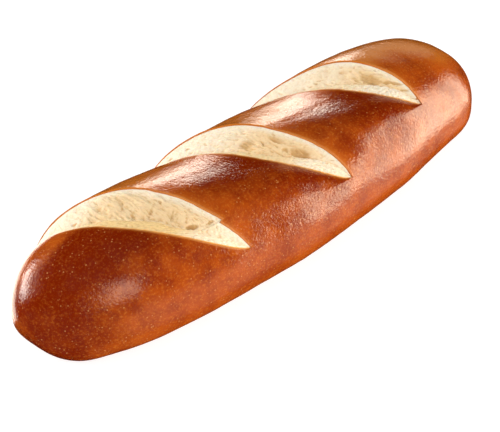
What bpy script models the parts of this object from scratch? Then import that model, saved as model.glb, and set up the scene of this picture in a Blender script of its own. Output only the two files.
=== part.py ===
"""Pretzel sandwich roll: one long glazed roll whose three slanting slashes the bake has opened.

The roll lies along X with its nearer tip at -X and rests on Z = 0. A section angle runs from 0 on
the far side (+Y) over the top (90) to the near side (180) and under the roll (270). The rings of
the mesh lean with the slashes, so lips, valleys and the arched crust between them are its rows.
"""
import math

import bmesh
import bpy
from mathutils import Vector

# The whole roll, in metres
LENGTH = 0.200
WIDTH = 0.055
HEIGHT = 0.0435
TIP_HEIGHT = 0.0188      # height of both tips before the sole is flattened
SOLE_FLAT = 0.0008       # how much the roll has settled flat on its baking sheet
BEND = 0.0073            # how far the middle bows towards the near side
TAPER = 0.016            # the far half is this share slimmer and lower, the near half thicker
SIDE_BELLY = 0.26        # share of the width lost from the middle to the tips
CROWN_BELLY = 0.063      # share of the height lost from the middle to the tips
WAIST = 0.42             # height of the widest line, as a share of the section
TOP_POWER = 2.25         # roundness of a section above and below its widest line
SOLE_POWER = 2.8

# Ends: how far from the tip the side, the crown and the sole reach full size, and how bluntly
NEAR_END = {"side": (0.035, 2.0), "crown": (0.0485, 1.92), "sole": (0.0145, 2.0)}
FAR_END = {"side": (0.023, 2.97), "crown": (0.063, 1.86), "sole": (0.0113, 2.0)}

# Slashes: the middle along X, how far the cut leans along X either way, the section angles of
# its two tips, how far each lip stands from the cut line, how deep the valley is, how far the
# near lip sinks and the far lip stands, how bluntly the two lips start from the tips, and how
# early the crust before the slash runs down to the near lip, from 1 for evenly
SLASHES = (
    {"middle": -0.0548, "lean": 0.0230, "tips": (7, 165), "near_gap": 0.0152, "far_gap": 0.0052,
     "depth": 0.0044, "sink": 0.0018, "stand": -0.0002, "near_blunt": 0.62, "far_blunt": 3.1,
     "early": 1.0},
    {"middle": -0.0062, "lean": 0.0222, "tips": (5, 158), "near_gap": 0.0078, "far_gap": 0.0062,
     "depth": 0.0036, "sink": 0.0054, "stand": -0.0010, "near_blunt": 0.38, "far_blunt": 1.14,
     "early": 1.35},
    {"middle": 0.0405, "lean": 0.0240, "tips": (15, 143), "near_gap": 0.0026, "far_gap": 0.0106,
     "depth": 0.0036, "sink": 0.0049, "stand": 0.0, "near_blunt": 0.38, "far_blunt": 1.25,
     "early": 1.8},
)
LEAN_BEND = 0.95         # how straight the cuts run over the crown, up to 1
LIP_POWER = 0.7          # how soon a lip reaches its full sink or stand from the slash's tips
TIP_EASE = 1.5           # how much sooner, away from a lip, its sink fades towards the slash's tips
EASE_REACH = 0.5         # share of the way from the lip at which it does so in full
SHOULDER = (105, 140)    # section angles over which the run-down draws together before the next slash
SHOULDER_RUN = 2.6

# Valley across a slash, from the near lip to the far lip: share across, share of the depth
VALLEY = ((0.08, 0.20), (0.20, 0.42), (0.31, 0.90), (0.38, 1.00), (0.50, 0.84), (0.66, 0.56),
          (0.82, 0.30), (0.94, 0.12))

# Torn crumb in the valleys: slanting strands
STRAND_RELIEF = 0.0005
STRANDS_ACROSS = 3.2
STRAND_ANGLE = 17.0      # degrees of section angle from one strand to the next

# The roll is shaped by hand, so its crust swells and dips a little: height, waves along, round
SWELLS = ((0.00028, 2.3, 2, 0.4), (0.00022, 4.1, 3, 2.1), (0.00016, 6.7, 1, 4.0))

# Mesh
SEGMENTS = 72
STEP = 360 / SEGMENTS
NEAR_END_RINGS = 13
BETWEEN_RINGS = 9
FAR_END_RINGS = 13
FINE = 0.00001           # points closer than this are one point

CRUST_COLOUR = (0.33, 0.085, 0.018, 1.0)


def rounding(distance, reach, power):
    """Quarter of a superellipse: 0 at a tip and 1 from the reach onwards."""
    short = 1 - min(max(distance, 0.0), reach) / reach
    return (1 - short ** power) ** (1 / power)


def end_rounding(x, way):
    """How much of its full size the side, crown or sole has at x."""
    from_near_tip = rounding(x + LENGTH / 2, *NEAR_END[way])
    from_far_tip = rounding(LENGTH / 2 - x, *FAR_END[way])
    return from_near_tip * from_far_tip


def signed_power(value, power):
    return math.copysign(abs(value) ** power, value)


def skin(x, angle):
    """Point of the plain roll, before it is slashed, at station x and a section angle."""
    along = 2 * x / LENGTH
    taper = 1 - TAPER * along
    half_width = WIDTH / 2 * taper * (1 - SIDE_BELLY * along ** 2) * end_rounding(x, "side")
    crown = HEIGHT * taper * (1 - CROWN_BELLY * along ** 2)
    top = TIP_HEIGHT + (crown - TIP_HEIGHT) * end_rounding(x, "crown")
    bottom = TIP_HEIGHT * (1 - end_rounding(x, "sole"))
    widest = bottom + WAIST * (top - bottom)
    across = math.cos(math.radians(angle))
    upward = math.sin(math.radians(angle))
    power = 2 / (TOP_POWER if upward >= 0 else SOLE_POWER)
    reach = top - widest if upward >= 0 else widest - bottom
    y = half_width * signed_power(across, power) - BEND * (1 - along ** 2)
    z = widest + reach * signed_power(upward, power)
    return Vector((x, y, z))


def outward(x, angle):
    """Unit normal of the plain roll."""
    small = 0.0002
    inside = LENGTH / 2 - small
    x = min(max(x, -inside), inside)
    along = skin(min(x + small, inside), angle) - skin(max(x - small, -inside), angle)
    around = skin(x, angle + 1) - skin(x, angle - 1)
    return around.cross(along).normalized()


def swell(x, angle):
    """Height of the crust's slow swells."""
    along = 2 * math.pi * x / LENGTH
    return sum(height * math.sin(waves * along + phase) * math.cos(rounds * math.radians(angle) + phase)
               for height, waves, rounds, phase in SWELLS)


def opening(slash, angle):
    """0 outside a slash, rising to 1 half way between its tips."""
    first, last = slash["tips"]
    offset = (angle - (first + last) / 2) / ((last - first) / 2)
    return max(0.0, 1 - offset ** 2)


def cut_line(slash, angle):
    """Station of the cut at a section angle."""
    lean = math.asin(-LEAN_BEND * math.cos(math.radians(angle))) / math.asin(LEAN_BEND)
    return slash["middle"] + slash["lean"] * lean


def near_lip(slash, angle):
    """Station and height of the lip on the -X side, which has sunk."""
    gap = opening(slash, angle)
    if gap == 0:
        return cut_line(slash, angle), 0.0
    station = cut_line(slash, angle) - slash["near_gap"] * gap ** slash["near_blunt"]
    return station, -slash["sink"] * gap ** LIP_POWER


def far_lip(slash, angle):
    """Station and height of the lip on the +X side, which stands over the torn crumb."""
    gap = opening(slash, angle)
    if gap == 0:
        return cut_line(slash, angle), 0.0
    station = cut_line(slash, angle) + slash["far_gap"] * gap ** slash["far_blunt"]
    return station, slash["stand"] * gap ** LIP_POWER


def blend(low, high, share):
    return low + (high - low) * share


def smooth_step(low, high, value):
    share = min(max((value - low) / (high - low), 0.0), 1.0)
    return share * share * (3 - 2 * share)


def tip_fade(slash, angle, away):
    """How much of a lip's sink is left towards the slash's tips, at a share of the way from the lip."""
    return opening(slash, angle) ** (TIP_EASE * min(1.0, away / EASE_REACH))


def near_end_ring(share, angle):
    """Ring between the -X tip and the first slash."""
    lip_x, lip_height = near_lip(SLASHES[0], angle)
    sinking = max(0.0, (share - 0.3) / 0.7) ** 2 * tip_fade(SLASHES[0], angle, 1 - share)
    return blend(-LENGTH / 2, lip_x, share), lip_height * sinking


def between_ring(number, share, angle):
    """Ring of the arched crust that runs down from one slash's far lip to the next near lip."""
    before = SLASHES[number]
    after = SLASHES[number + 1]
    high_x, high = far_lip(before, angle)
    low_x, low = near_lip(after, angle)
    rise = (1 - share) ** 2 * tip_fade(before, angle, share)
    over_top = 1 - (1 - share) ** after["early"]
    run_down = blend(over_top, share ** SHOULDER_RUN, smooth_step(*SHOULDER, angle))
    run_down *= tip_fade(after, angle, 1 - share)
    return blend(high_x, low_x, share), high * rise + low * run_down


def far_end_ring(share, angle):
    """Ring between the last slash and the +X tip."""
    last = SLASHES[-1]
    lip_x, lip_height = far_lip(last, angle)
    fade = (1 - share) ** 2 * tip_fade(last, angle, share)
    return blend(lip_x, LENGTH / 2, share), lip_height * fade


def valley_ring(number, across, deep, angle):
    """Ring of the torn crumb inside a slash."""
    slash = SLASHES[number]
    near_x, near_height = near_lip(slash, angle)
    far_x, far_height = far_lip(slash, angle)
    open_share = opening(slash, angle) ** LIP_POWER
    strand = math.sin(2 * math.pi * (angle / STRAND_ANGLE + STRANDS_ACROSS * across + number))
    relief = STRAND_RELIEF * strand * math.sin(math.pi * across)
    height = blend(near_height, far_height, across) - (slash["depth"] * deep - relief) * open_share
    return blend(near_x, far_x, across), height


def ring_list():
    """Every ring from the -X tip to the +X tip, as a function of the section angle."""
    rings = []
    for index in range(1, NEAR_END_RINGS + 1):
        share = (index / NEAR_END_RINGS) ** 1.6
        rings.append(lambda angle, share=share: near_end_ring(share, angle))
    for number in range(len(SLASHES)):
        for across, deep in VALLEY:
            rings.append(lambda angle, n=number, a=across, d=deep: valley_ring(n, a, d, angle))
        if number < len(SLASHES) - 1:
            for index in range(BETWEEN_RINGS + 1):
                share = index / BETWEEN_RINGS
                rings.append(lambda angle, n=number, s=share: between_ring(n, s, angle))
    for index in range(FAR_END_RINGS):
        share = 1 - (1 - index / FAR_END_RINGS) ** 1.6
        rings.append(lambda angle, share=share: far_end_ring(share, angle))
    return rings


def surface_point(ring, angle):
    """Point of the finished crust or crumb on a ring."""
    x, height = ring(angle)
    point = skin(x, angle) + outward(x, angle) * (height + swell(x, angle))
    point.z = max(point.z - SOLE_FLAT, 0.0)
    return point


def shape_roll(mesh):
    """Move the points of a sphere of rings onto the roll."""
    rings = ring_list()
    ball = bmesh.new()
    bmesh.ops.create_uvsphere(ball, u_segments=SEGMENTS, v_segments=len(rings) + 1, radius=1)
    for vertex in ball.verts:
        across, upward, axial = vertex.co
        row = round((1 - math.acos(min(max(axial, -1.0), 1.0)) / math.pi) * (len(rings) + 1))
        if 0 < row <= len(rings):
            angle = round(math.degrees(math.atan2(upward, across)) / STEP) * STEP % 360
            vertex.co = surface_point(rings[row - 1], angle)
        else:
            vertex.co = (math.copysign(LENGTH / 2, axial), 0, TIP_HEIGHT - SOLE_FLAT)
    bmesh.ops.remove_doubles(ball, verts=ball.verts, dist=FINE)
    bmesh.ops.triangulate(ball, faces=ball.faces)
    low = Vector([min(vertex.co[axis] for vertex in ball.verts) for axis in range(3)])
    high = Vector([max(vertex.co[axis] for vertex in ball.verts) for axis in range(3)])
    middle = (low + high) / 2
    bmesh.ops.translate(ball, verts=ball.verts, vec=(-middle.x, -middle.y, -low.z))
    ball.to_mesh(mesh)
    ball.free()


def crust_material():
    material = bpy.data.materials.new("glazed_crust")
    material.use_nodes = True
    shader = material.node_tree.nodes["Principled BSDF"]
    shader.inputs["Base Color"].default_value = CRUST_COLOUR
    shader.inputs["Roughness"].default_value = 0.28
    shader.inputs["Metallic"].default_value = 0.0
    return material


def main():
    for old in list(bpy.data.objects):
        bpy.data.objects.remove(old)
    collection = bpy.data.collections.new("pretzel_sandwich_roll")
    bpy.context.scene.collection.children.link(collection)
    mesh = bpy.data.meshes.new("roll")
    shape_roll(mesh)
    mesh.materials.append(crust_material())
    mesh.shade_smooth()
    mesh.set_sharp_from_angle(angle=math.radians(50))
    collection.objects.link(bpy.data.objects.new("roll", mesh))


main()
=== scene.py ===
"""Looks of the pretzel sandwich roll: a glazed crust, torn crumb in three slashes, and a white studio.

The roll lies along X with its nearer tip at -X. A section angle runs from 0 on the far side (+Y)
over the top (90) to the near side (180) and under the roll (270). All lengths are in metres.
"""

import math

import bmesh
import bpy
import numpy as np
from mathutils import Matrix, Vector


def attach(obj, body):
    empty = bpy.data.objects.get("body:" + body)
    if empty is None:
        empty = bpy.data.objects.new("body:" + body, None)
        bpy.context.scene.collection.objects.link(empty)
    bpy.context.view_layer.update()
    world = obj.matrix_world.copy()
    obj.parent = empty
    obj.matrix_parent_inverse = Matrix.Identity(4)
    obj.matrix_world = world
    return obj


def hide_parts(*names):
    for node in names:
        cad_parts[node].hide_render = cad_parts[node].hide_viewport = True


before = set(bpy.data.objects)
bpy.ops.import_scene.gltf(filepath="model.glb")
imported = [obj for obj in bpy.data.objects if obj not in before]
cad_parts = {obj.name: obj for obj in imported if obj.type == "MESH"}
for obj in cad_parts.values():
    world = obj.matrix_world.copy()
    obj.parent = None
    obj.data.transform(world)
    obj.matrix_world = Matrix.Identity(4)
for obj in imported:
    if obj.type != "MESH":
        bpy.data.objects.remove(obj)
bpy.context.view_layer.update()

# The whole roll, as the solid has it
LENGTH = 0.200
WIDTH = 0.055
HEIGHT = 0.0435
TIP_HEIGHT = 0.0188
SOLE_FLAT = 0.0008  # how much of the rounded sole is pressed flat
BEND = 0.0073  # how far the middle lies nearer than the tips
TAPER = 0.016  # share by which the near half is fuller and the far half slimmer
SIDE_BELLY = 0.26  # share of the width that is lost from the middle to the tips
CROWN_BELLY = 0.063  # and of the crown's height
WAIST = 0.42  # share of the height at which a section is widest
TOP_POWER = 2.25  # powers of a section's superellipse, above that height and below it
SOLE_POWER = 2.8
# Reach and power with which the side, crown and sole round off towards each tip
NEAR_END = {"side": (0.035, 2.0), "crown": (0.0485, 1.92), "sole": (0.0145, 2.0)}
FAR_END = {"side": (0.023, 2.97), "crown": (0.063, 1.86), "sole": (0.0113, 2.0)}
# The slashes: station of the cut's middle, lean of the cut, section angles of its tips, how far each
# lip drew back, the valley's depth, how far the near lip sank and the far lip stands, how blunt each
# lip's curve is, and how early the crust before the slash runs down to it
SLASHES = (
    {"middle": -0.0548, "lean": 0.0230, "tips": (7, 165), "near_gap": 0.0152, "far_gap": 0.0052,
     "depth": 0.0044, "sink": 0.0018, "stand": -0.0002, "near_blunt": 0.62, "far_blunt": 3.1,
     "early": 1.0},
    {"middle": -0.0062, "lean": 0.0222, "tips": (5, 158), "near_gap": 0.0078, "far_gap": 0.0062,
     "depth": 0.0036, "sink": 0.0054, "stand": -0.0010, "near_blunt": 0.38, "far_blunt": 1.14,
     "early": 1.35},
    {"middle": 0.0405, "lean": 0.0240, "tips": (15, 143), "near_gap": 0.0026, "far_gap": 0.0106,
     "depth": 0.0036, "sink": 0.0049, "stand": 0.0, "near_blunt": 0.38, "far_blunt": 1.25,
     "early": 1.8},
)
LEAN_BEND = 0.95  # how much a cut curves round the roll
TIP_EASE = 1.5  # how much sooner, away from a lip, its sink fades towards the slash's tips
EASE_REACH = 0.5  # share of the way from the lip at which it does so in full
SHOULDER = (105, 140)  # section angles over which the run-down draws together before the next slash
SHOULDER_RUN = 2.6
NEAR_END_LEVEL = 0.3  # share of the near end that isn't drawn down with its lip
# Powers of a slash's opening, with which these fade out towards its tips
LIP_POWER = 0.7  # the lips' sink and the valley's depth
WANDER_POWER = 0.5  # the lips' wandering
EDGE_POWER = 0.3  # the torn edge and its golden fringe
BAKE_POWER = 0.4  # the darker and the paler glaze beside a slash
SHOW_POWER = 0.35  # the crust edge that shows
# Across a slash: share of the way from the near lip to the far lip, and share of the depth
VALLEY = ((0.0, 0.0), (0.08, 0.20), (0.20, 0.42), (0.31, 0.90), (0.38, 1.00), (0.50, 0.84),
          (0.66, 0.56), (0.82, 0.30), (0.94, 0.12), (1.0, 0.0))
VALLEY_STEPS = 1201
VALLEY_ROUNDING = 43  # how many of those steps its corners are rounded over
# Slow swells of the crust: height, waves along the roll, waves around it, phase
SWELLS = ((0.00028, 2.3, 2, 0.4), (0.00022, 4.1, 3, 2.1), (0.00016, 6.7, 1, 4.0))
SWELL_CALM = 0.006  # length at each tip over which they die away

FINE = 0.0000001  # points closer than this are one point

# Crust mesh
CRUST_SEGMENTS = 320
CRUST_CROWDING = 20.0  # degrees by which segments crowd towards the top
NEAR_END_RINGS = 72
BETWEEN_RINGS = 60
FAR_END_RINGS = 70
END_CROWDING = 1.6  # how strongly the rings crowd towards the tips

# Crust beside and under the crumb: share across, depth below the lips' line
NEAR_EDGE = ((0.006, 0.0005), (0.02, 0.0016))
FAR_EDGE = ((0.975, 0.0016), (0.992, 0.0008))
UNDER_CRUMB = (0.08, 0.20, 0.32, 0.46, 0.62, 0.78, 0.91)
UNDER_GAP = 0.0038  # depth of the hidden crust below the crumb's smooth surface

# How dark the glaze is: 0 is golden and 1 is dark brown. It is darker before a slash and more
# golden after it, and paler towards the foot. Painted shade darkens the near end on its near side.
# Painted light makes the far end paler, and the far side, whose glaze is also more golden. Of two
# stations, angles or heights, a place starts to count at the first and counts in full at the second.
PLAIN_BAKE = 0.62
LIP_BAKE = 0.5  # change beside an open lip
DARK_REACH = 0.022  # distances from the lips at which it has faded to a third
GOLD_REACH = 0.009
DARK_ANGLES = (130, 95)  # low on the near side, only a part of the darkness is left:
DARK_LOW = (-0.3, 0.15, 0.35)  # this much of it for each slash
NEAR_SIDE = (0.008, -0.007)  # along Y
NEAR_TOP = (-0.056, -0.082)  # stations of the near end, over the top and all round
NEAR_TIP = (-0.076, -0.094)
NEAR_TOP_ANGLES = (150, 100)
# Painted shade over the near end: its strength at the tip, and the strength of all of it on the near side
NEAR_TIP_PAINTED_SHADE = 0.6
NEAR_END_PAINTED_SHADE = 0.4
# Paler far side: partly a more golden glaze and partly painted light where the lamps behind the roll fall
FAR_SIDE_ANGLES = (102, 74)
FAR_SIDE_GOLD_AND_LIGHT = 0.95
LOW_FAR_ANGLES = (5, 55)  # below them, only this part of the far side's paleness is left:
LOW_FAR_GOLD_AND_LIGHT = 0.25
SOLE_ANGLES = (-80, -20)  # and none before these
TIP_FADE = 0.008  # length at each tip over which it fades out
FOOT_HEIGHTS = (0.036, 0.012)
FOOT_PALE = 0.26
FOOT_NEAR_END = 0.7  # how much less the near end's foot pales
# Painted light that makes the top of the far end paler
FAR_END_STATIONS = (0.060, 0.082)
FAR_END_ANGLES = (140, 105)
FAR_END_PAINTED_LIGHT = 0.8

NEAR_FRINGE = (1.0, 0.00045)  # strength and width of the golden fringe beside a lip
FAR_FRINGE = (0.8, 0.00080)
FRINGE_ANGLES = (84, 108)  # section angles over which a far lip turns from brown to golden
BROWN_EDGE = 0.30  # how golden a far lip is before them

# The cut wandered a little: distance, waves for each degree of section angle, seed
LIP_WAVER = ((0.00030, 0.07, 3.1), (0.00017, 0.26, 7.7))
FAR_WAVER = 5.0  # place in the noise of the far lip's own wandering
# A flap of the first far lip tore away: its section angle, the step at its edge, the degrees that the
# step takes, and the degrees in which it fades before and after
TEAR = {"slash": 0, "angle": 136.0, "step": 0.0010, "over": 0.4, "before": 9.0, "after": 7.0}

# Relief of the crust: height, wavelength and seed
CRUST_DENTS = (0.00012, 0.0090, 3.3)
CRUST_RIPPLES = (0.00005, 0.0030, 8.1)
CRUST_CRINKLE = (0.00008, 0.0015, 5.9)
PUCKER_CRINKLE = 0.005  # reach of the crinkles round the pucker and round a slash's near-side tip
TIP_CRINKLE = 0.014
# A pucker in the glaze before the second slash: section angle, distance from the lip, radius, depth,
# how much narrower it is across the roll, and its rim
PUCKER = {"slash": 1, "angle": 67.0, "before": 0.0034, "radius": 0.0011, "depth": 0.00040,
          "narrow": 1.6, "rim_radius": 1.6, "rim_height": 0.5, "rim_width": 0.5}
CRUST_SHARP = 48  # edges that turn by more degrees are shaded sharp
CRUMB_SHARP = 180

# Crumb mesh
CRUMB_ROWS = 400
CRUMB_COLUMNS = 150  # across the shown face
CRUMB_BACK = 26  # across the hidden underside
CRUMB_TOP = 0.990  # share across where the crumb ends under the far lip
CRUMB_THICK = 0.0030

NEAR_SHOW = 0.00034  # crust edge that shows at the near lip
FAR_SHOW = 0.00050  # crust edge that shows at the far lip
SHOW_SPAN = (0.1, 0.9)  # shares across between which the one passes into the other

# Torn face of each slash. Its strands follow lines of equal lean * run + side + bow * side squared
# over the slash's breadth. Fold and wave are the thick strands' height and thickness. Then come the
# ledge's width, how golden the ledge is and how tan the face is (partly tan crumb and partly painted
# shade), each at some section angles, and the open cells: section angle, share across, length,
# breadth, depth and turn.
CRUMBS = (
    {"name": "crumb_near", "seed": 11.0, "lean": 1.5, "bow": 1.3, "fold": 0.00055, "wave": 0.0058,
     "ledge": ((30, 0.05), (55, 0.12), (70, 0.22), (80, 0.28), (90, 0.34), (100, 0.40), (112, 0.41),
               (122, 0.37), (132, 0.40), (150, 0.45)),
     "gold": ((40, 0.3), (75, 0.7), (90, 1.0), (124, 1.0), (138, 0.25), (150, 0.1)),
     "tan": ((40, 0.0), (58, 0.25), (68, 0.8), (78, 1.0), (122, 1.0), (133, 0.8), (146, 0.15)),
     "cells": ((57, 0.46, 0.0026, 0.0010, 0.0006, 10), (62, 0.93, 0.0016, 0.0005, 0.0004, 0),
               (68, 0.72, 0.0042, 0.0007, 0.0003, 6), (86, 0.86, 0.0018, 0.0006, 0.0005, -10),
               (96, 0.84, 0.0024, 0.0007, 0.0006, -25), (99, 0.83, 0.0020, 0.0006, 0.0006, -30),
               (99, 0.66, 0.0078, 0.0011, 0.0004, -66), (112, 0.66, 0.0080, 0.0006, 0.0005, -58),
               (129, 0.52, 0.0034, 0.0032, 0.0012, -50), (133, 0.80, 0.0030, 0.0016, 0.0007, -60),
               (84, 0.64, 0.0060, 0.0005, 0.0004, -56), (122, 0.64, 0.0064, 0.0006, 0.0005, -52))},
    {"name": "crumb_middle", "seed": 23.0, "lean": 0.20, "bow": 0.0, "fold": 0.00046, "wave": 0.0034,
     "ledge": ((20, 0.10), (60, 0.16), (80, 0.23), (100, 0.31), (112, 0.40), (120, 0.50), (130, 0.62),
               (140, 0.76), (150, 0.80)),
     "gold": ((40, 0.2), (75, 0.5), (90, 0.8), (115, 0.7), (128, 0.1), (150, 0.1)),
     "tan": ((40, 0.0), (66, 0.15), (80, 0.5), (90, 1.0), (124, 1.0), (136, 0.4), (150, 0.1)),
     "cells": ((87, 0.53, 0.0054, 0.0032, 0.0007, -4), (99, 0.76, 0.0080, 0.0020, 0.0006, -10),
               (118, 0.66, 0.0078, 0.0028, 0.0009, -12), (108, 0.62, 0.0030, 0.0016, 0.0006, -12),
               (93, 0.64, 0.0021, 0.0004, 0.0011, -28), (45, 0.68, 0.0016, 0.0008, 0.0008, 5),
               (32, 0.62, 0.0022, 0.0010, 0.0007, 8), (81, 0.78, 0.0024, 0.0005, 0.0005, -4),
               (129, 0.62, 0.0024, 0.0010, 0.0005, -20), (139, 0.88, 0.0024, 0.0005, 0.0004, 0),
               (104, 0.50, 0.0060, 0.0010, 0.0004, -14))},
    {"name": "crumb_far", "seed": 37.0, "lean": 0.28, "bow": 0.0, "fold": 0.00046, "wave": 0.0034,
     "ledge": ((20, 0.12), (60, 0.22), (70, 0.28), (80, 0.33), (90, 0.42), (98, 0.52), (110, 0.64),
               (120, 0.72), (135, 0.80)),
     "gold": ((40, 0.1), (65, 0.3), (80, 0.5), (92, 0.4), (105, 0.0), (140, 0.0)),
     "tan": ((40, 0.0), (58, 0.1), (64, 0.5), (72, 0.35), (80, 0.6), (90, 1.0), (118, 1.0), (132, 0.3)),
     "cells": ((98, 0.70, 0.0092, 0.0030, 0.0009, -12), (113, 0.84, 0.0064, 0.0010, 0.0010, -6),
               (80, 0.73, 0.0044, 0.0016, 0.0004, -8), (64, 0.54, 0.0024, 0.0006, 0.0006, 0),
               (66, 0.60, 0.0030, 0.0005, 0.0005, 8), (61, 0.50, 0.0020, 0.0006, 0.0005, 0),
               (90, 0.60, 0.0056, 0.0014, 0.0004, -22), (124, 0.86, 0.0030, 0.0007, 0.0007, -4))},
)
# Bends of the strands: distance, wavelengths along and across the strands, seed
STRAND_BENDS = ((0.0012, 0.010, 0.006, 0.5), (0.00020, 0.0022, 0.0015, 2.3))
STRAND_STRETCH = 4.5  # how much longer the fine strands are than they are thick
STRAND_GROOVE = 2.2  # drop from the ridge of a strand to the groove beside it
# Two sizes of strands each: height, how many times thinner, how many times longer than thick, seed
FOLDS = ((1.0, 1.0, STRAND_STRETCH / 2, 0.0), (0.6, 2.3, STRAND_STRETCH / 1.5, 1.7))
FINE_STRANDS = ((1.0, 1.0, STRAND_STRETCH, 3.1), (0.6, 2.0, STRAND_STRETCH, 7.9))
# Height and wavelength of the fine strands on the tan face, and with a seed those of the lumps on the
# white ledge, of the pimples and of the grain
FIBRES = (0.00030, 0.0010)
LUMPS = (0.00036, 0.0016, 5.3)
PIMPLES = (0.00013, 0.0009, 4.1)
GRAIN = (0.00008, 0.00045, 4.9)
PALE_FOLDS = 0.2  # share of the thick strands' height that is left where the face is white
PALE_FIBRES = 0.2  # the same for the fine strands, and what tan crumb and open cells add to it
TAN_FIBRES = 0.9
CELL_FIBRES = 0.9
GOLDEN_LUMPS = 0.6  # how much flatter the lumps are where the ledge is golden
# Ragged walls of the open cells: strength, wavelengths along and across the strands, seed
CELL_RAGGED = (0.22, 0.0018, 0.0007, 6.1)
CELL_WALL = (1.35, 0.35)  # share of its radius where a cell's wall starts and where it is deep
HOLLOW_DEPTH = 0.0005  # open cells deeper than this are fibrous inside
DEEP_CELL = 0.001  # depth at which a cell has its full painted shade
SHADE_HEIGHT = 0.00035  # dip below the crumb around it that has the full shade
SHADE_STEPS = 60  # rounds of averaging that show it
# Ragged edge of the ledge, with how much longer its coarse waves are and how much higher its fine ones
SCALLOP = {"share": 0.034, "wavelength": 0.0015, "seed": 9.0, "coarse": 2.6, "fine": 1.2}
LEDGE_LEAST = 0.01
LEDGE_EDGE = 0.26  # share across where the valley's step lies
LEDGE_SPAN = (0.06, -0.01)  # beside that step, the ledge passes into the face
TAN_AND_SHADE_SPAN = (0.99, 0.80)  # shares across over which the face turns tan, partly by painted shade, below the far lip
CALM_MARGIN = 0.05  # share across beside each lip with little relief
CALM_RELIEF = 0.15
FULL_GAP = 0.25  # opening of the slash from which the relief is full
# Small open cells in each slash, with the ranges that their traits are drawn from
SMALL_CELLS = {"count": 40, "angle": (35, 150), "across": (0.45, 0.97), "size": (0.0004, 0.0009),
               "stretch": (1.4, 3.6), "depth": (0.2, 0.5), "turn": (-15, 15)}
RIM_GOLD = (0.0011, 0.0002)  # distances from a near lip over which the crumb turns golden

# Smooth noise: slopes at the corners of a lattice, and their order
LATTICE = 256
DRAW = np.random.default_rng(20)
SLOPES = DRAW.normal(size=(LATTICE, 3))
SLOPES /= np.linalg.norm(SLOPES, axis=1, keepdims=True)
SHUFFLE = DRAW.permutation(LATTICE)
NOISE_GAIN = 1.35

# Camera, fitted to the photo
IMAGE_WIDTH = 500
CAMERA_AZIMUTH = -46.15
CAMERA_ELEVATION = 37.37
CAMERA_DISTANCE = 0.630
MIDDLE_HEIGHT = 0.0209
MIDDLE_ABOVE = 0.01522  # the roll's middle is this far above and beside the frame's middle
MIDDLE_BESIDE = 0.0002
FOCAL_PIXELS = 1911.8
SENSOR_WIDTH = 36.0
CLIP_START = 0.01

# White floor just under the sole
FLOOR_HALF = 3
FLOOR_GAP = 0.0002
FLOOR_GREY = 0.35
FLOOR_GLOW = 0.85

# Softboxes a metre away: azimuth and elevation of the middle, width, height, brightness and warmth.
# The glaze mirrors the first group. The second group only fills the shade.
MIRRORED = {
    "left": (-150, 14, 0.80, 0.34, 9.0, 0.4),
    "left_wide": (-145, 24, 1.00, 0.50, 1.3, 0.8),
    "left_low": (178, -28, 0.90, 0.50, 3.0, 0.8),
    "back": (137, 10, 0.22, 0.22, 7.6, 0.7),
    "back_wide": (126, 5, 0.50, 0.24, 0.8, 1.6),
    "right": (41, -3, 0.22, 0.74, 7.0, 1.25),
    "right_side": (64, -1, 0.28, 0.96, 6.3, 1.25),
    "right_wide": (58, -14, 1.00, 0.90, 0.4, 1.0),
    "right_low": (83, -6, 0.22, 0.60, 4.6, 1.2),
    "front": (-28, 17, 0.44, 0.60, 2.6, 0.9),
    "front_low": (25, -36, 1.50, 0.50, 0.35, 0.5),
}
FILLING = {
    "fill_right": (10, 30, 0.80, 0.60, 1.5, 0.2),
    "fill_camera": (-46, 50, 0.80, 0.80, 1.3, 0.0),
    "fill_top": (-60, 88, 0.80, 0.80, 0.8, 0.0),
}
WARM = (1.0, 0.84, 0.66)  # colour of a softbox whose warmth is 1
SOFTBOX_DISTANCE = 1.0
SOFTBOX_AIM = 0.02  # height of the point that they all face
AMBIENT = 0.18


def cad_tip_shift():
    """How far the solid's tips lie from the centre line that the bend is measured from."""
    tip = min(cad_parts["roll"].data.vertices, key=lambda vertex: vertex.co.x)
    return tip.co.y


TIP_SHIFT = cad_tip_shift()


# ---------------- form of the roll

def rounding(distance, reach, power):
    """Quarter of a superellipse: 0 at a tip and 1 from the reach onwards."""
    short = 1 - np.clip(distance, 0, reach) / reach
    return (1 - short ** power) ** (1 / power)


def end_rounding(x, way):
    """How much of its full size the side, crown or sole has at x."""
    from_near_tip = rounding(x + LENGTH / 2, *NEAR_END[way])
    from_far_tip = rounding(LENGTH / 2 - x, *FAR_END[way])
    return from_near_tip * from_far_tip


def skin(x, angle):
    """Points of the plain roll, before it is slashed, at stations x and section angles."""
    along = 2 * x / LENGTH
    taper = 1 - TAPER * along
    half_width = WIDTH / 2 * taper * (1 - SIDE_BELLY * along ** 2) * end_rounding(x, "side")
    crown = HEIGHT * taper * (1 - CROWN_BELLY * along ** 2)
    top = TIP_HEIGHT + (crown - TIP_HEIGHT) * end_rounding(x, "crown")
    bottom = TIP_HEIGHT * (1 - end_rounding(x, "sole"))
    widest = bottom + WAIST * (top - bottom)
    across = np.cos(np.radians(angle))
    upward = np.sin(np.radians(angle))
    power = np.where(upward >= 0, 2 / TOP_POWER, 2 / SOLE_POWER)
    reach = np.where(upward >= 0, top - widest, widest - bottom)
    y = half_width * np.sign(across) * np.abs(across) ** power - BEND * (1 - along ** 2)
    z = widest + reach * np.sign(upward) * np.abs(upward) ** power
    return np.stack(np.broadcast_arrays(x, y, z), -1)


def outward(x, angle):
    """Unit normals of the plain roll."""
    small = 0.0002
    inside = LENGTH / 2 - small
    x = np.clip(x, -inside, inside)
    along = skin(np.minimum(x + small, inside), angle) - skin(np.maximum(x - small, -inside), angle)
    around = skin(x, angle + 1) - skin(x, angle - 1)
    normal = np.cross(around, along)
    return normal / np.linalg.norm(normal, axis=-1, keepdims=True)


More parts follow.
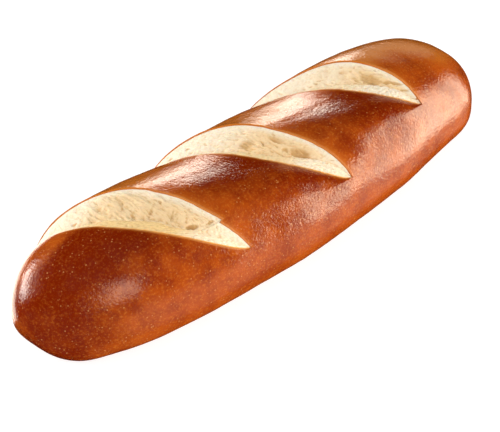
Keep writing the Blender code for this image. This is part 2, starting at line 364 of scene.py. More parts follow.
def swell(x, angle):
    """Height of the crust's slow swells."""
    along = 2 * math.pi * x / LENGTH
    calm = smooth_step(LENGTH / 2, LENGTH / 2 - SWELL_CALM, np.abs(x))
    return calm * sum(height * np.sin(waves * along + phase) * np.cos(rounds * np.radians(angle) + phase)
                      for height, waves, rounds, phase in SWELLS)


def surface(x, angle, height):
    """Points at a height over the plain roll, settled on the sole."""
    points = skin(x, angle) + outward(x, angle) * (height + swell(x, angle))[..., None]
    points[..., 2] = np.maximum(points[..., 2] - SOLE_FLAT, 0)
    points[..., 1] += TIP_SHIFT
    return points


def noise_at(points, wavelength, seed):
    """Smooth noise from about -1 to 1 at points."""
    place = points / wavelength + seed
    cell = np.floor(place).astype(int)
    inside = place - cell
    ease = inside ** 3 * (inside * (inside * 6 - 15) + 10)
    total = 0
    for corner in np.ndindex(2, 2, 2):
        corner = np.array(corner)
        x, y, z = np.moveaxis((cell + corner) % LATTICE, -1, 0)
        slope = SLOPES[SHUFFLE[(SHUFFLE[(SHUFFLE[x] + y) % LATTICE] + z) % LATTICE]]
        weight = np.prod(np.where(corner == 1, ease, 1 - ease), axis=-1)
        total = total + weight * np.sum(slope * (inside - corner), axis=-1)
    return NOISE_GAIN * total


def noise_field(p, q, seed):
    """Smooth noise from about -1 to 1 on two coordinate arrays."""
    p, q = np.broadcast_arrays(p, q)
    return noise_at(np.stack((p, q, np.zeros_like(p)), -1), 1.0, seed)


def smooth_step(low, high, value):
    """0 up to the low value, 1 from the high value, and a soft rise between them."""
    share = np.clip((value - low) / (high - low), 0, 1)
    return share * share * (3 - 2 * share)


def blend(low, high, share):
    """A value at a share of the way from low to high."""
    return low + (high - low) * share


# ---------------- slashes

def opening(slash, angle):
    """0 outside a slash, rising to 1 half way between its tips."""
    first, last = slash["tips"]
    offset = (angle - (first + last) / 2) / ((last - first) / 2)
    return np.maximum(0, 1 - offset ** 2)


def cut_line(slash, angle):
    """Station of the cut at a section angle."""
    lean = np.arcsin(-LEAN_BEND * np.cos(np.radians(angle))) / math.asin(LEAN_BEND)
    return slash["middle"] + slash["lean"] * lean


def waver(number, angle, side):
    """Small wandering of a lip along X."""
    flat = np.zeros_like(angle)
    return sum(distance * noise_field(angle * waves, flat + side, seed + number)
               for distance, waves, seed in LIP_WAVER)


def tear(number, angle):
    """Step of a far lip where a flap of crust tore away."""
    if number != TEAR["slash"]:
        return np.zeros_like(angle)
    offset = angle - TEAR["angle"]
    over = TEAR["over"]
    before = np.exp(offset / TEAR["before"]) * smooth_step(over, -over, offset)
    after = np.exp(-offset / TEAR["after"]) * smooth_step(-over, over, offset)
    return TEAR["step"] * (np.minimum(before, 1) - np.minimum(after, 1))


def near_lip(number, angle):
    """Stations and heights of the lip on the -X side, which has sunk."""
    slash = SLASHES[number]
    gap = opening(slash, angle)
    wander = waver(number, angle, 0.0) * gap ** WANDER_POWER
    station = cut_line(slash, angle) - slash["near_gap"] * gap ** slash["near_blunt"] + wander
    return station, -slash["sink"] * gap ** LIP_POWER


def far_lip(number, angle):
    """Stations and heights of the lip on the +X side, which stands over the torn crumb."""
    slash = SLASHES[number]
    gap = opening(slash, angle)
    wander = (waver(number, angle, FAR_WAVER) + tear(number, angle)) * gap ** WANDER_POWER
    station = cut_line(slash, angle) + slash["far_gap"] * gap ** slash["far_blunt"] + wander
    return station, slash["stand"] * gap ** LIP_POWER


def valley_depth(across):
    """Share of a slash's depth at a share across it, with the corners rounded."""
    fine = np.linspace(-0.1, 1.1, VALLEY_STEPS)
    shares, depths = zip(*VALLEY)
    rough = np.interp(fine, shares, depths)
    window = np.hanning(VALLEY_ROUNDING)
    smooth = np.convolve(rough, window / window.sum(), mode="same")
    return np.interp(across, fine, smooth)


# ---------------- crust

def tip_fade(number, angle, away):
    """How much of a lip's sink is left towards the slash's tips, at a share of the way from the lip."""
    return opening(SLASHES[number], angle) ** (TIP_EASE * min(1.0, away / EASE_REACH))


def near_end_ring(share, angle):
    """Ring between the -X tip and the first slash."""
    lip_x, lip_height = near_lip(0, angle)
    drawn = max(0.0, (share - NEAR_END_LEVEL) / (1 - NEAR_END_LEVEL)) ** 2
    return blend(-LENGTH / 2, lip_x, share), lip_height * drawn * tip_fade(0, angle, 1 - share)


def between_ring(number, share, angle):
    """Ring of the arched crust that runs down from one slash's far lip to the next near lip."""
    high_x, high = far_lip(number, angle)
    low_x, low = near_lip(number + 1, angle)
    rise = (1 - share) ** 2 * tip_fade(number, angle, share)
    over_top = 1 - (1 - share) ** SLASHES[number + 1]["early"]
    run_down = blend(over_top, share ** SHOULDER_RUN, smooth_step(*SHOULDER, angle))
    run_down = run_down * tip_fade(number + 1, angle, 1 - share)
    return blend(high_x, low_x, share), high * rise + low * run_down


def far_end_ring(share, angle):
    """Ring between the last slash and the +X tip."""
    last = len(SLASHES) - 1
    lip_x, lip_height = far_lip(last, angle)
    return blend(lip_x, LENGTH / 2, share), lip_height * (1 - share) ** 2 * tip_fade(last, angle, share)


def valley_ring(number, across, drop, deep, angle):
    """Ring of the crust between the lips of a slash: its edges and what the crumb hides."""
    slash = SLASHES[number]
    near_x, near_height = near_lip(number, angle)
    far_x, far_height = far_lip(number, angle)
    open_share = opening(slash, angle) ** LIP_POWER
    sunk = (drop + slash["depth"] * deep) * open_share
    return blend(near_x, far_x, across), blend(near_height, far_height, across) - sunk


def crust_rings(angle):
    """Stations, heights and edge share of every ring from the -X tip to the +X tip."""
    rings = []

    def add(ring, edge):
        rings.append((*ring, np.full_like(angle, edge)))

    for index in range(1, NEAR_END_RINGS + 1):
        add(near_end_ring((index / NEAR_END_RINGS) ** END_CROWDING, angle), 0)
    for number, slash in enumerate(SLASHES):
        torn = opening(slash, angle) ** EDGE_POWER
        for across, drop in NEAR_EDGE:
            add(valley_ring(number, across, drop, 0, angle), torn)
        for across in UNDER_CRUMB:
            add(valley_ring(number, across, UNDER_GAP, valley_depth(across), angle), torn)
        for across, drop in FAR_EDGE:
            add(valley_ring(number, across, drop, 0, angle), torn * lip_gold(angle))
        if number < len(SLASHES) - 1:
            for index in range(BETWEEN_RINGS + 1):
                add(between_ring(number, index / BETWEEN_RINGS, angle), 0)
    for index in range(FAR_END_RINGS):
        add(far_end_ring(1 - (1 - index / FAR_END_RINGS) ** END_CROWDING, angle), 0)
    return [np.array(values) for values in zip(*rings)]


def bake_beside_lips(stations, angle):
    """Darker glaze before the sunken lips and more golden glaze after the standing ones."""
    bake_and_painted_light = np.zeros(stations.shape)
    for number, slash in enumerate(SLASHES):
        torn = opening(slash, angle) ** BAKE_POWER
        before = near_lip(number, angle)[0] - stations
        after = stations - far_lip(number, angle)[0]
        upper = blend(DARK_LOW[number], 1, smooth_step(*DARK_ANGLES, angle))
        bake_and_painted_light += LIP_BAKE * torn * upper * np.where(before >= 0, np.exp(-before / DARK_REACH), 0)
        bake_and_painted_light -= LIP_BAKE * torn * np.where(after >= 0, np.exp(-after / GOLD_REACH), 0)
    return bake_and_painted_light


def bake_and_painted_light_share(stations, angle, points):
    """How dark the glaze is, with painted shade over the near end and painted light on the far side and far
    end.
    """
    bake_and_painted_light = PLAIN_BAKE + bake_beside_lips(stations, angle)
    wrapped = (angle + 90) % 360 - 90
    near_side = smooth_step(*NEAR_SIDE, points[..., 1] - TIP_SHIFT)
    near_top = smooth_step(*NEAR_TOP, stations) * smooth_step(*NEAR_TOP_ANGLES, angle) * near_side
    near_end_shade = np.maximum(near_top, NEAR_TIP_PAINTED_SHADE * smooth_step(*NEAR_TIP, stations))
    foot = smooth_step(*FOOT_HEIGHTS, points[..., 2])
    off_sole = smooth_step(*SOLE_ANGLES, wrapped)
    off_tips = smooth_step(LENGTH / 2, LENGTH / 2 - TIP_FADE, np.abs(stations))
    far_side = blend(LOW_FAR_GOLD_AND_LIGHT, 1, smooth_step(*LOW_FAR_ANGLES, wrapped)) * off_sole * off_tips
    far_end_light = smooth_step(*FAR_END_STATIONS, stations) * smooth_step(*FAR_END_ANGLES, wrapped)
    # Paler far side: partly a more golden glaze, partly painted light where the lamps behind the roll fall
    bake_and_painted_light -= FAR_SIDE_GOLD_AND_LIGHT * smooth_step(*FAR_SIDE_ANGLES, wrapped) * far_side * (1 - near_end_shade)
    bake_and_painted_light -= FOOT_PALE * foot * (1 - FOOT_NEAR_END * near_end_shade)
    # Painted light on the top of the far end
    bake_and_painted_light -= FAR_END_PAINTED_LIGHT * far_end_light * far_side
    # Painted shade over the near end's near side
    bake_and_painted_light += NEAR_END_PAINTED_SHADE * near_end_shade * near_side
    return bake_and_painted_light


def lip_gold(angle):
    """How golden a far lip is: brown at first, then golden."""
    return blend(BROWN_EDGE, 1, smooth_step(*FRINGE_ANGLES, angle))


def fringe(stations, angle):
    """Golden fringe of the crust along the open lips."""
    golden = np.zeros(stations.shape)
    turned = lip_gold(angle)
    for number, slash in enumerate(SLASHES):
        torn = opening(slash, angle) ** EDGE_POWER
        before = near_lip(number, angle)[0] - stations
        after = stations - far_lip(number, angle)[0]
        golden += NEAR_FRINGE[0] * torn * np.where(before > -FINE, np.exp(-before / NEAR_FRINGE[1]), 0)
        reach = FAR_FRINGE[1] * turned
        golden += FAR_FRINGE[0] * turned * torn * np.where(after > -FINE, np.exp(-after / reach), 0)
    return np.minimum(golden, 1)


def net(name, points):
    """Mesh of a grid whose points are placed row by row, with the row and column of each of them."""
    rows, columns = points.shape[:2]
    shape = bmesh.new()
    bmesh.ops.create_grid(shape, x_segments=columns - 1, y_segments=rows - 1, size=1)
    mesh = bpy.data.meshes.new(name)
    shape.to_mesh(mesh)
    shape.free()
    flat = np.empty(len(mesh.vertices) * 3, np.float32)
    mesh.vertices.foreach_get("co", flat)
    across, along, _ = flat.reshape(-1, 3).T
    row = np.rint((along + 1) / 2 * (rows - 1)).astype(int)
    column = np.rint((across + 1) / 2 * (columns - 1)).astype(int)
    mesh.vertices.foreach_set("co", np.ascontiguousarray(points[row, column], np.float32).ravel())
    mesh.update()
    return mesh, row, column


def closed_round(values):
    """Rows of values with the first column again after the last."""
    return np.concatenate((values, values[:, :1]), axis=1)


def capped(values, first, last):
    """Rows of values between a first row and a last row that each repeat one value."""
    shape = values[:1].shape
    return np.concatenate((np.broadcast_to(first, shape), values, np.broadcast_to(last, shape)))


def write_attribute(mesh, name, values):
    """Store one number for each point, for the materials."""
    attribute = mesh.attributes.new(name, "FLOAT", "POINT")
    attribute.data.foreach_set("value", np.ascontiguousarray(values, np.float32).ravel())


def close_up(mesh):
    """Merge points that fall together and turn every face outwards."""
    shape = bmesh.new()
    shape.from_mesh(mesh)
    bmesh.ops.remove_doubles(shape, verts=shape.verts, dist=FINE)
    bmesh.ops.recalc_face_normals(shape, faces=shape.faces)
    shape.to_mesh(mesh)
    shape.free()


def put(name, data):
    """New object of the scene."""
    thing = bpy.data.objects.new(name, data)
    bpy.context.scene.collection.objects.link(thing)
    return thing


def add_piece(mesh, material, sharp_from):
    """Put a finished mesh into the scene as a piece of the roll."""
    mesh.materials.append(material)
    mesh.shade_smooth()
    mesh.set_sharp_from_angle(angle=math.radians(sharp_from))
    piece = put(mesh.name, mesh)
    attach(piece, "root")
    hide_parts("roll")


def pucker_place():
    """Point of the crust in the middle of the pucker."""
    angle = np.array([PUCKER["angle"]])
    station = near_lip(PUCKER["slash"], angle)[0] - PUCKER["before"]
    return surface(station, angle, np.zeros(1))[0]


def pucker_height(points):
    """Height of the pucker: a small pit with a rim."""
    away = np.linalg.norm((points - pucker_place()) * (1, PUCKER["narrow"], 1), axis=-1) / PUCKER["radius"]
    rim = PUCKER["rim_height"] * np.exp(-((away - PUCKER["rim_radius"]) / PUCKER["rim_width"]) ** 2)
    return PUCKER["depth"] * (rim - np.exp(-away ** 2))


def crinkle_share(points):
    """Where the crust crinkles: around the slashes' near-side tips and the pucker."""
    spots = [(pucker_place(), PUCKER_CRINKLE)]
    for number, slash in enumerate(SLASHES):
        angle = np.array([float(slash["tips"][1])])
        spots.append((surface(near_lip(number, angle)[0], angle, np.zeros(1))[0], TIP_CRINKLE))
    return np.max([np.exp(-(np.linalg.norm(points - place, axis=-1) / reach) ** 2)
                   for place, reach in spots], axis=0)


def crust_relief(points):
    """Height of the dents, ripples, crinkles and pucker of the glazed crust."""
    dents, ripples, folds = (noise_at(points, wavelength, seed)
                             for _, wavelength, seed in (CRUST_DENTS, CRUST_RIPPLES, CRUST_CRINKLE))
    crinkles = CRUST_CRINKLE[0] * (1 - 2 * np.abs(folds)) * crinkle_share(points)
    return CRUST_DENTS[0] * dents + CRUST_RIPPLES[0] * ripples + crinkles + pucker_height(points)


def make_crust():
    """The glazed crust, closed at both tips and running on under the crumb."""
    turn = np.arange(CRUST_SEGMENTS) * 360 / CRUST_SEGMENTS
    angle = (turn + CRUST_CROWDING * np.cos(np.radians(turn))) % 360
    stations, heights, edge = crust_rings(angle)
    angles = np.broadcast_to(angle, stations.shape)
    points = surface(stations, angles, heights)
    points = surface(stations, angles, heights + crust_relief(points) * (1 - edge))
    # The glaze's tone, with painted shade and painted light in it, kept on the points for the material
    bake_and_painted_light = bake_and_painted_light_share(stations, angle, points)
    edge = np.maximum(edge, fringe(stations, angle))
    tip = np.array((LENGTH / 2, TIP_SHIFT, TIP_HEIGHT - SOLE_FLAT))
    mesh, row, column = net("crust", capped(closed_round(points), tip * (-1, 1, 1), tip))
    for name, values in (("bake_and_painted_light", bake_and_painted_light), ("edge", edge)):
        write_attribute(mesh, name, capped(closed_round(values), values[0, 0], values[-1, 0])[row, column])
    close_up(mesh)
    add_piece(mesh, crust_material(), CRUST_SHARP)


# ---------------- crumb

def soften(values, times):
    """Average each value with its neighbours on a grid."""
    for _ in range(times):
        padded = np.pad(values, 1, mode="edge")
        values = (padded[:-2, 1:-1] + padded[2:, 1:-1] + padded[1:-1, :-2] + padded[1:-1, 2:]
                  + 4 * values) / 8
    return values


def crumb_grid(number):
    """Angles, shares across, and the run and breadth in metres of a slash's grid of points."""
    first, last = SLASHES[number]["tips"]
    turn = math.pi * np.arange(1, CRUMB_ROWS + 1) / (CRUMB_ROWS + 1)
    angle = (first + last) / 2 - (last - first) / 2 * np.cos(turn)
    across = np.linspace(0, CRUMB_TOP, CRUMB_COLUMNS)
    near = surface(near_lip(number, angle)[0], angle, near_lip(number, angle)[1])
    far = surface(far_lip(number, angle)[0], angle, far_lip(number, angle)[1])
    middle = (near + far) / 2
    steps = np.linalg.norm(np.diff(middle, axis=0), axis=-1)
    run = np.concatenate(([0], np.cumsum(steps)))
    breadth = np.linalg.norm(far - near, axis=-1)
    return angle, across, run[:, None], breadth[:, None] * across


def cell_depth(run, side, cell, angle, breadth, ragged):
    """Depth of one open cell with soft, ragged walls."""
    centre_angle, centre_across, length, width, depth, turn = cell
    along = run - np.interp(centre_angle, angle, run[:, 0])
    over = side - centre_across * np.interp(centre_angle, angle, breadth)
    cosine = math.cos(math.radians(turn))
    sine = math.sin(math.radians(turn))
    p = (along * cosine + over * sine) / (length / 2)
    q = (over * cosine - along * sine) / (width / 2)
    return depth * smooth_step(*CELL_WALL, np.sqrt(p * p + q * q) + ragged)


def small_cells(crumb):
    """Seeded list of small open cells over the torn face."""
    draw = np.random.default_rng(int(crumb["seed"]))
    cells = []
    for _ in range(SMALL_CELLS["count"]):
        size = draw.uniform(*SMALL_CELLS["size"])
        turn = -math.degrees(math.atan(crumb["lean"])) + draw.uniform(*SMALL_CELLS["turn"])
        angle = draw.uniform(*SMALL_CELLS["angle"])
        across = draw.uniform(*SMALL_CELLS["across"])
        length = size * draw.uniform(*SMALL_CELLS["stretch"])
        cells.append((angle, across, length, size, size * draw.uniform(*SMALL_CELLS["depth"]), turn))
    return cells


def strand_lines(crumb, run, side, breadth):
    """Distances along and across the strands, which bend a little."""
    lean = crumb["lean"]
    scale = math.hypot(lean, 1)
    p = (run - lean * side) / scale
    q = (lean * run + side + crumb["bow"] * side ** 2 / breadth.max()) / scale
    for distance, long_wave, cross_wave, seed in STRAND_BENDS:
        q = q + distance * noise_field(p / long_wave, q / cross_wave, crumb["seed"] + seed)
    return p, q


def strands(p, q, wave, kinds, seed):
    """Ridges that run along p, in two sizes."""
    ridges = 0
    for height, finer, stretch, more in kinds:
        thick = wave / finer
        groove = np.abs(noise_field(p / (thick * stretch), q / thick, seed + more))
        ridges = ridges + height * (1 - STRAND_GROOVE * groove)
    return ridges


def all_cells(crumb, angle, run, side, breadth, p, q):
    """Depth of the open cells wherever there is one."""
    strength, long_wave, cross_wave, seed = CELL_RAGGED
    ragged = strength * noise_field(p / long_wave, q / cross_wave, crumb["seed"] + seed)
    cells = np.zeros(q.shape)
    for cell in list(crumb["cells"]) + small_cells(crumb):
        cells = np.maximum(cells, cell_depth(run, side, cell, angle, breadth, ragged))
    return cells


def crumb_relief(crumb, angle, across, run, side, on_ledge, tan_and_shade_share):
    """Height of the strands, lumps and open cells of torn crumb, and the depth of its cells."""
    breadth = side[:, -1] / across[-1]
    p, q = strand_lines(crumb, run, side, breadth)
    cells = all_cells(crumb, angle, run, side, breadth, p, q)
    folds = strands(p, q, crumb["wave"], FOLDS, crumb["seed"])
    fibres = strands(p, q, FIBRES[1], FINE_STRANDS, crumb["seed"])
    lumps, pimples, grain = (noise_field(p / wavelength, q / wavelength, crumb["seed"] + seed)
                             for _, wavelength, seed in (LUMPS, PIMPLES, GRAIN))
    folded = blend(PALE_FOLDS, 1, tan_and_shade_share) * (1 - on_ledge)
    torn = PALE_FIBRES + TAN_FIBRES * tan_and_shade_share + CELL_FIBRES * np.minimum(cells / HOLLOW_DEPTH, 1)
    white = on_ledge * (1 - GOLDEN_LUMPS * at_angles(crumb["gold"], angle))
    relief = crumb["fold"] * folds * folded + FIBRES[0] * fibres * torn + LUMPS[0] * np.abs(lumps) * white
    return relief + PIMPLES[0] * pimples * (1 + on_ledge) + GRAIN[0] * grain - cells, cells


def at_angles(table, angle):
    """Values at the section angles from a short table."""
    stops, values = zip(*table)
    return np.interp(angle, stops, values)[:, None]


def ledge_share(crumb, angle, run):
    """Share across at which the ledge breaks off, along a ragged line."""
    wavelength = SCALLOP["wavelength"]
    seed = crumb["seed"] + SCALLOP["seed"]
    coarse = noise_field(run / (wavelength * SCALLOP["coarse"]), run * 0, seed)
    fine = np.abs(noise_field(run / wavelength, run * 0, seed + 1))
    return at_angles(crumb["ledge"], angle) + SCALLOP["share"] * (coarse - SCALLOP["fine"] * fine)


def ledge_across(crumb, angle, across, run):
    """Shares across, stretched so that the valley's step falls where the ledge breaks off."""
    edge = np.maximum(ledge_share(crumb, angle, run), LEDGE_LEAST)
    on_ledge = across[None, :] / edge * LEDGE_EDGE
    behind = LEDGE_EDGE + (across[None, :] - edge) / (1 - edge) * (1 - LEDGE_EDGE)
    return np.where(across[None, :] < edge, on_ledge, behind)


def crumb_face(number, angle, across, run, side, line, gap):
    """Heights of the torn face and, for the materials, what its points are like."""
    crumb = CRUMBS[number]
    stepped = ledge_across(crumb, angle, across, run)
    on_ledge = smooth_step(*(LEDGE_EDGE + edge for edge in LEDGE_SPAN), stepped)
    # The tan is partly tan crumb and partly painted shade
    tan_and_shade_share = at_angles(crumb["tan"], angle) * smooth_step(*TAN_AND_SHADE_SPAN, across) * (1 - on_ledge)
    relief, cells = crumb_relief(crumb, angle, across, run, side, on_ledge, tan_and_shade_share)
    off_lips = smooth_step(0, CALM_MARGIN, across) * smooth_step(CRUMB_TOP, CRUMB_TOP - CALM_MARGIN, across)
    fullness = smooth_step(0, FULL_GAP, gap)
    base = line - SLASHES[number]["depth"] * valley_depth(stepped) * gap ** LIP_POWER
    shown = base + relief * fullness * blend(CALM_RELIEF, 1, off_lips)
    # For the materials: painted shade in the dips, painted shade in the open cells, the tan that is partly
    # painted shade, and the golden ledge
    traits = {"hollow": np.clip((soften(shown, SHADE_STEPS) - shown) / SHADE_HEIGHT, -1, 1),
              "cell": cells / DEEP_CELL * fullness,
              "tan": tan_and_shade_share,
              "golden": on_ledge * at_angles(crumb["gold"], angle)}
    return shown, traits


def make_crumb(number, material):
    """The torn crumb in one slash: its face, and a plain back under it that the crust hides."""
    slash = SLASHES[number]
    angle, across, run, side = crumb_grid(number)
    near_x, near_height = (values[:, None] for values in near_lip(number, angle))
    far_x, far_height = (values[:, None] for values in far_lip(number, angle))
    gap = opening(slash, angle)[:, None]
    show = blend(NEAR_SHOW, FAR_SHOW, smooth_step(*SHOW_SPAN, across)) * gap ** SHOW_POWER
    line = blend(near_height, far_height, across) - show
    shown, traits = crumb_face(number, angle, across, run, side, line, gap)

    back = np.linspace(CRUMB_TOP, 0, CRUMB_BACK + 2)[1:-1]
    sunk = slash["depth"] * valley_depth(back) + CRUMB_THICK
    hidden = blend(near_height, far_height, back) - sunk * gap ** LIP_POWER - show[:, -1:]
    stations = blend(near_x, far_x, np.concatenate((across, back)))
    angles = np.broadcast_to(angle[:, None], stations.shape)
    points = surface(stations, angles, np.concatenate((shown, hidden), axis=1))
    tips = np.array([float(value) for value in slash["tips"]])
    first, last = surface(cut_line(slash, tips), tips, np.zeros(2))
    mesh, row, column = net(CRUMBS[number]["name"], capped(closed_round(points), first, last))

    blank = np.zeros_like(hidden)
    traits = {name: np.concatenate((values, blank), axis=1) for name, values in traits.items()}
    traits["rim"] = smooth_step(*RIM_GOLD, np.concatenate((side, blank + side[:, -1:]), axis=1))
    for name, values in traits.items():
        write_attribute(mesh, name, capped(closed_round(values), 0, 0)[row, column])
    close_up(mesh)
    add_piece(mesh, material, CRUMB_SHARP)


# ---------------- materials

class Nodes:
    """Short names for a material's nodes. What goes in is a number, a colour or another node's output."""

    def __init__(self, name):
        self.material = bpy.data.materials.new(name)
        self.material.use_nodes = True
        self.tree = self.material.node_tree

    def fill(self, node, inputs):
        for socket, value in inputs.items():
            if isinstance(value, bpy.types.NodeSocket):
                self.tree.links.new(value, node.inputs[socket])
            else:
                node.inputs[socket].default_value = value

    def finish(self, inputs):
        """Give the shader its inputs."""
        self.fill(self.tree.nodes["Principled BSDF"], inputs)
        return self.material

    def add(self, kind, inputs, **traits):
        node = self.tree.nodes.new(kind)
        for name, value in traits.items():
            setattr(node, name, value)
        self.fill(node, inputs)
        return node.outputs

    def place(self):
        """Coordinates on the piece."""
        return self.add("ShaderNodeTexCoord", {})["Object"]

    def attribute(self, name):
        return self.add("ShaderNodeAttribute", {}, attribute_name=name)["Fac"]

    def noise(self, size, detail=2.0, rough=0.5):
        """Noise whose blobs are about a size across."""
        inputs = {"Vector": self.place(), "Scale": 1 / size, "Detail": detail, "Roughness": rough}
        return self.add("ShaderNodeTexNoise", inputs)["Fac"]

    def spots(self, size):
        """Distance to the nearest of scattered points that lie about a size apart."""
        return self.add("ShaderNodeTexVoronoi", {"Vector": self.place(), "Scale": 1 / size})["Distance"]

    def range(self, value, low, high, to_low=0.0, to_high=1.0):
        """Soft passage from one value to another while the input goes from low to high."""
        inputs = {"Value": value, "From Min": low, "From Max": high, "To Min": to_low, "To Max": to_high}
        return self.add("ShaderNodeMapRange", inputs, interpolation_type="SMOOTHSTEP")["Result"]

    def math(self, operation, first, second):
        return self.add("ShaderNodeMath", {0: first, 1: second}, operation=operation)["Value"]

    def mix(self, share, first, second):
        """Mix of two colours."""
        return self.add("ShaderNodeMix", {"Factor": share, 6: first, 7: second}, data_type="RGBA")[2]

    def bump(self, height, distance, strength, **under):
        """Normals tilted as if the height stood out."""
        inputs = {"Height": height, "Distance": distance, "Strength": strength, **under}
        return self.add("ShaderNodeBump", inputs)["Normal"]


def linear(*display):
    """Linear colour of a display colour whose channels are given from 0 to 255."""
    shares = [value / 255 for value in display]
    return (*(share / 12.92 if share <= 0.04045 else ((share + 0.055) / 1.055) ** 2.4
              for share in shares), 1)


DARK_CRUST = linear(124, 31, 0)
MID_CRUST = linear(180, 80, 18)
GOLD_CRUST = linear(204, 116, 38)
LIP_CRUST = linear(222, 140, 52)
GLINT_SPECK = linear(240, 176, 104)
GLAZE_IOR = 1.62
BROWN_CLOUD = 0.008
GOLD_FLECK = 0.0008
SPECK_SPACING = 0.0014
SPECK_PATCH = 0.004
GLOSS_PATCH = 0.004
PEBBLE = (0.0009, 0.00012)  # size and height
CRUST_GRAIN = (0.0004, 0.00003)


def crust_colour(nodes):
    """Golden to dark brown with the bake and its painted shade and light, with a fine fleck, scattered pale
    specks that are small blisters with their glints painted in, and golden lips.
    """
    cloud = nodes.noise(BROWN_CLOUD, 3.0, 0.55)
    clouded_bake_and_light = nodes.math("ADD", nodes.attribute("bake_and_painted_light"), nodes.range(cloud, 0.3, 0.7, -0.14, 0.14))
    colour = nodes.mix(nodes.range(clouded_bake_and_light, -0.4, 0.25), GOLD_CRUST, MID_CRUST)
    colour = nodes.mix(nodes.range(clouded_bake_and_light, 0.15, 0.80), colour, DARK_CRUST)
    fine = nodes.range(nodes.noise(GOLD_FLECK, 3.0, 0.65), 0.46, 0.72)
    golden = nodes.math("MULTIPLY", fine, nodes.range(clouded_bake_and_light, 0.2, 0.9, 0.55, 0.22))
    colour = nodes.mix(golden, colour, GOLD_CRUST)
    # Pale specks: small blisters in the glaze, with their glints painted in
    sparse = nodes.range(nodes.noise(SPECK_PATCH), 0.40, 0.60)
    blister_glints = nodes.math("MULTIPLY", nodes.range(nodes.spots(SPECK_SPACING), 0.24, 0.08), sparse)
    colour = nodes.mix(nodes.math("MULTIPLY", blister_glints, 0.45), colour, GLINT_SPECK)
    return nodes.mix(nodes.attribute("edge"), colour, LIP_CRUST)


def crust_bump(nodes):
    """Fine unevenness of the glaze, which breaks up what it mirrors."""
    grain = nodes.bump(nodes.noise(CRUST_GRAIN[0], 2.0, 0.6), CRUST_GRAIN[1], 0.8)
    return nodes.bump(nodes.noise(PEBBLE[0], 2.0, 0.55), PEBBLE[1], 1.0, Normal=grain)


def crust_material():
    """Glossy glaze, matt only along the lips."""
    nodes = Nodes("crust_glaze")
    rough = nodes.range(nodes.noise(GLOSS_PATCH, 3.0), 0.3, 0.7, 0.12, 0.20)
    matt_lip = nodes.range(nodes.attribute("edge"), 0.1, 0.7, 0, 0.45)
    return nodes.finish({"Base Color": crust_colour(nodes), "Normal": crust_bump(nodes), "IOR": GLAZE_IOR,
                         "Roughness": nodes.math("ADD", rough, matt_lip)})


CRUMB_PALE = linear(255, 244, 222)
CRUMB_TAN_AND_SHADE = linear(245, 219, 176)
CRUMB_SHADE = linear(216, 174, 112)
CRUMB_CELL_SHADE = linear(206, 164, 104)
LEDGE = linear(254, 222, 162)
CRUMB_RIM = linear(234, 164, 72)
MOTTLE = 0.0012
CRUMB_GRAIN = (0.0005, 0.00008)
CRUMB_GLOW = {"Subsurface Weight": 0.2, "Subsurface Radius": (1.0, 0.62, 0.36),
              "Subsurface Scale": 0.0008}


def crumb_colour(nodes):
    """White to tan, the tan partly painted shade, with painted shade in its hollows, on its ledge and in
    its open cells, and a golden ledge and rim.
    """
    mottle = nodes.range(nodes.noise(MOTTLE, 3.0, 0.6), 0.35, 0.7, -0.3, 0.3)
    shade = nodes.math("ADD", nodes.attribute("hollow"), mottle)
    colour = nodes.mix(nodes.attribute("tan"), CRUMB_PALE, CRUMB_TAN_AND_SHADE)
    colour = nodes.mix(nodes.range(shade, -0.3, 1.0, 0, 0.62), colour, CRUMB_SHADE)
    # Painted shade in the open cells, darker where they are deeper
    colour = nodes.mix(nodes.range(nodes.attribute("cell"), 0.1, 0.8, 0, 0.7), colour, CRUMB_CELL_SHADE)
    ledge = nodes.mix(nodes.range(shade, -0.4, 1.0, 0, 0.6), LEDGE, CRUMB_SHADE)
    colour = nodes.mix(nodes.attribute("golden"), colour, ledge)
    return nodes.mix(nodes.attribute("rim"), colour, CRUMB_RIM)


def crumb_material():
    """Soft matt crumb."""
    nodes = Nodes("torn_crumb")
    normal = nodes.bump(nodes.noise(CRUMB_GRAIN[0], 3.0, 0.6), CRUMB_GRAIN[1], 0.7)
    return nodes.finish({"Base Color": crumb_colour(nodes), "Normal": normal, "Roughness": 0.75,
                         "Specular IOR Level": 0.25, **CRUMB_GLOW})


# ---------------- studio

def direction(azimuth, elevation):
    """Unit vector to a place seen at an azimuth and elevation; azimuth 0 is -Y and 90 is +X."""
    a = math.radians(azimuth)
    e = math.radians(elevation)
    return Vector((math.sin(a) * math.cos(e), -math.cos(a) * math.cos(e), math.sin(e)))


def aim(thing, place, target):
    """Put a camera or a lamp at a place and turn it to a target."""
    thing.location = place
    thing.rotation_euler = (target - place).to_track_quat("-Z", "Y").to_euler()


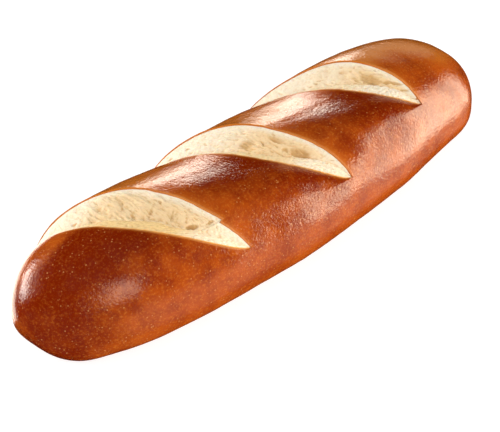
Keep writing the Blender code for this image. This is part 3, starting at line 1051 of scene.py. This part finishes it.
def make_camera():
    """Camera of the photo."""
    data = bpy.data.cameras.new("camera")
    data.sensor_width = SENSOR_WIDTH
    data.sensor_fit = "HORIZONTAL"
    data.lens = FOCAL_PIXELS / IMAGE_WIDTH * SENSOR_WIDTH
    data.clip_start = CLIP_START
    camera = put("camera", data)
    back = direction(CAMERA_AZIMUTH, CAMERA_ELEVATION)
    beside = direction(CAMERA_AZIMUTH + 90, 0)
    above = back.cross(beside)
    middle = Vector((0, TIP_SHIFT, MIDDLE_HEIGHT))
    target = middle - above * MIDDLE_ABOVE - beside * MIDDLE_BESIDE
    aim(camera, target + back * CAMERA_DISTANCE, target)
    bpy.context.scene.camera = camera


def make_floor():
    """White ground, which is no part of the roll."""
    shape = bmesh.new()
    bmesh.ops.create_grid(shape, x_segments=1, y_segments=1, size=FLOOR_HALF)
    mesh = bpy.data.meshes.new("floor")
    shape.to_mesh(mesh)
    shape.free()
    mesh.transform(Matrix.Translation((0, 0, -FLOOR_GAP)))
    floor = put("floor", mesh)
    mesh.materials.append(Nodes("white_floor").finish({
        "Base Color": (FLOOR_GREY, FLOOR_GREY, FLOOR_GREY, 1), "Roughness": 1.0,
        "Specular IOR Level": 0.0, "Emission Color": (1, 1, 1, 1), "Emission Strength": FLOOR_GLOW}))
    floor.visible_glossy = False
    floor.visible_shadow = False


def make_softbox(name, azimuth, elevation, width, height, brightness, warmth, mirrored):
    """Lamp that the glaze mirrors or doesn't."""
    data = bpy.data.lights.new(name, "AREA")
    data.shape = "RECTANGLE"
    data.size = width
    data.size_y = height
    data.energy = math.pi * width * height * brightness
    data.color = [1 - warmth * (1 - channel) for channel in WARM]
    lamp = put(name, data)
    aim(lamp, direction(azimuth, elevation) * SOFTBOX_DISTANCE, Vector((0, 0, SOFTBOX_AIM)))
    lamp.visible_glossy = mirrored


def make_world():
    """Faint even light from all round, which the glaze doesn't mirror."""
    world = bpy.data.worlds.new("studio")
    bpy.context.scene.world = world
    world.use_nodes = True
    world.node_tree.nodes["Background"].inputs["Color"].default_value = (1, 1, 1, 1)
    world.node_tree.nodes["Background"].inputs["Strength"].default_value = AMBIENT
    world.cycles_visibility.glossy = False


def main():
    """Build the studio and the dressed roll."""
    bpy.context.scene.view_settings.view_transform = "Standard"
    make_camera()
    make_world()
    make_floor()
    for name, values in MIRRORED.items():
        make_softbox(name, *values, True)
    for name, values in FILLING.items():
        make_softbox(name, *values, False)
    make_crust()
    torn_crumb = crumb_material()
    for number in range(len(SLASHES)):
        make_crumb(number, torn_crumb)


main()
